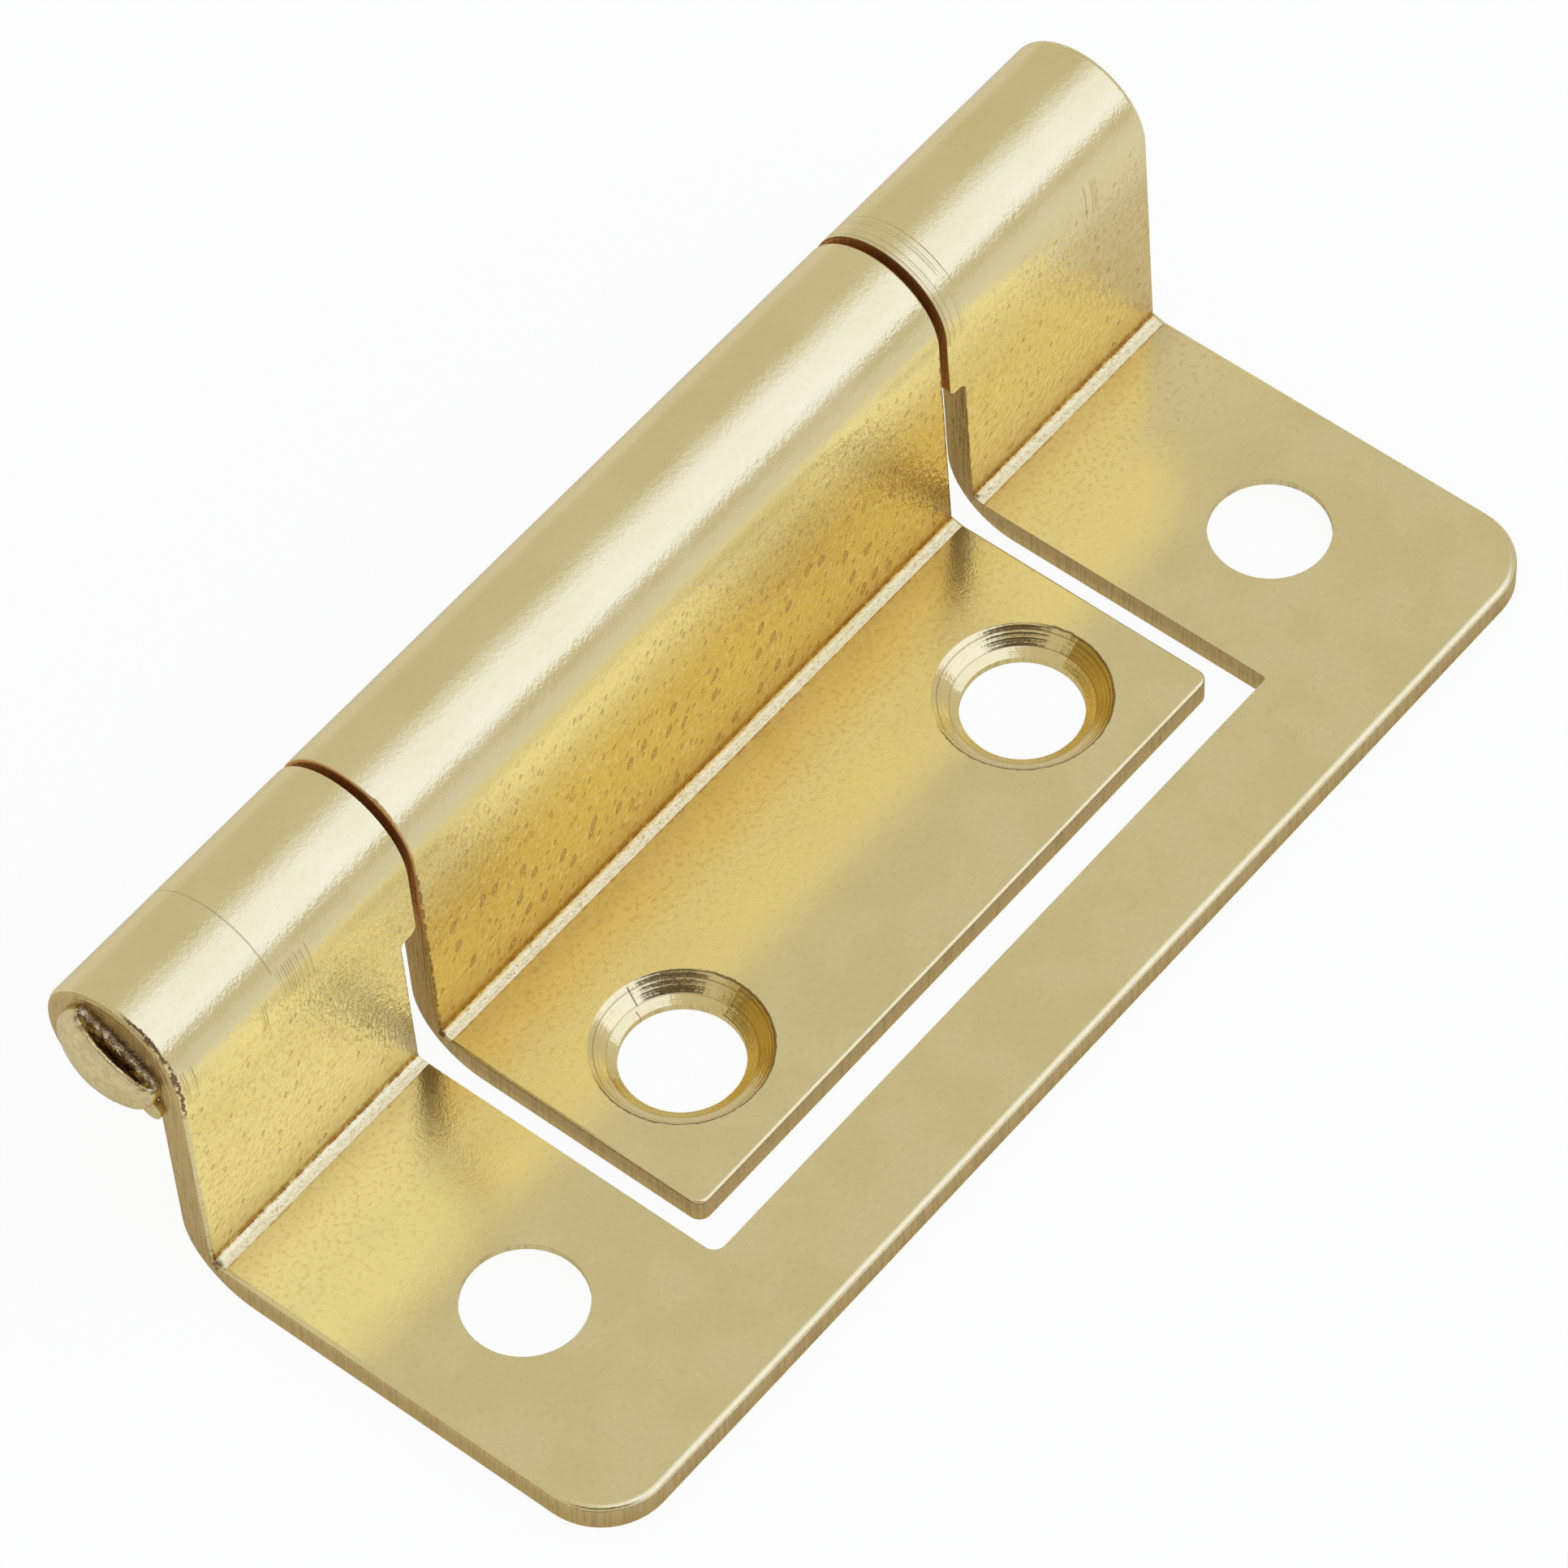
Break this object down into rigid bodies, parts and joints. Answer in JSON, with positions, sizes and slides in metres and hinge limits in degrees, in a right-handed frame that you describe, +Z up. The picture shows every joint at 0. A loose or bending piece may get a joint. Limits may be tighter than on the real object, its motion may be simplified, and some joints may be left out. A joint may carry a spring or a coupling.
{
  "type": "flush hinge",
  "caption": "Pressed sheet flush hinge with a raised knuckle: a small countersunk leaf nests in the window of a framed leaf, and both turn on a fixed headed pin.",
  "frame": {"origin": "middle of the outer leaf's screw line, on the leaves' upper face, which the frame's edge meets", "axes": "+X along the pin, away from its struck head; -Y towards the leaves' long edge; +Z up, to the knuckle's side"},
  "size_m": [0.0513, 0.0228, 0.0126],
  "materials": {
    "plated_leaf": "brass plate on pressed steel, soft gloss",
    "plated_pin": "brass plate on steel wire, soft gloss"
  },
  "bodies": {
    "outer": {"outer_leaf": "plated_leaf", "hinge_pin": "plated_pin"},
    "inner": {"inner_leaf": "plated_leaf"}
  },
  "joints": [
    {"name": "leaf_swing", "type": "hinge", "parent": "outer", "child": "inner", "pos_m": [0, 0.0121, 0.00875], "axis": [-1, 0, 0], "range_deg": [0, 180]}
  ]
}
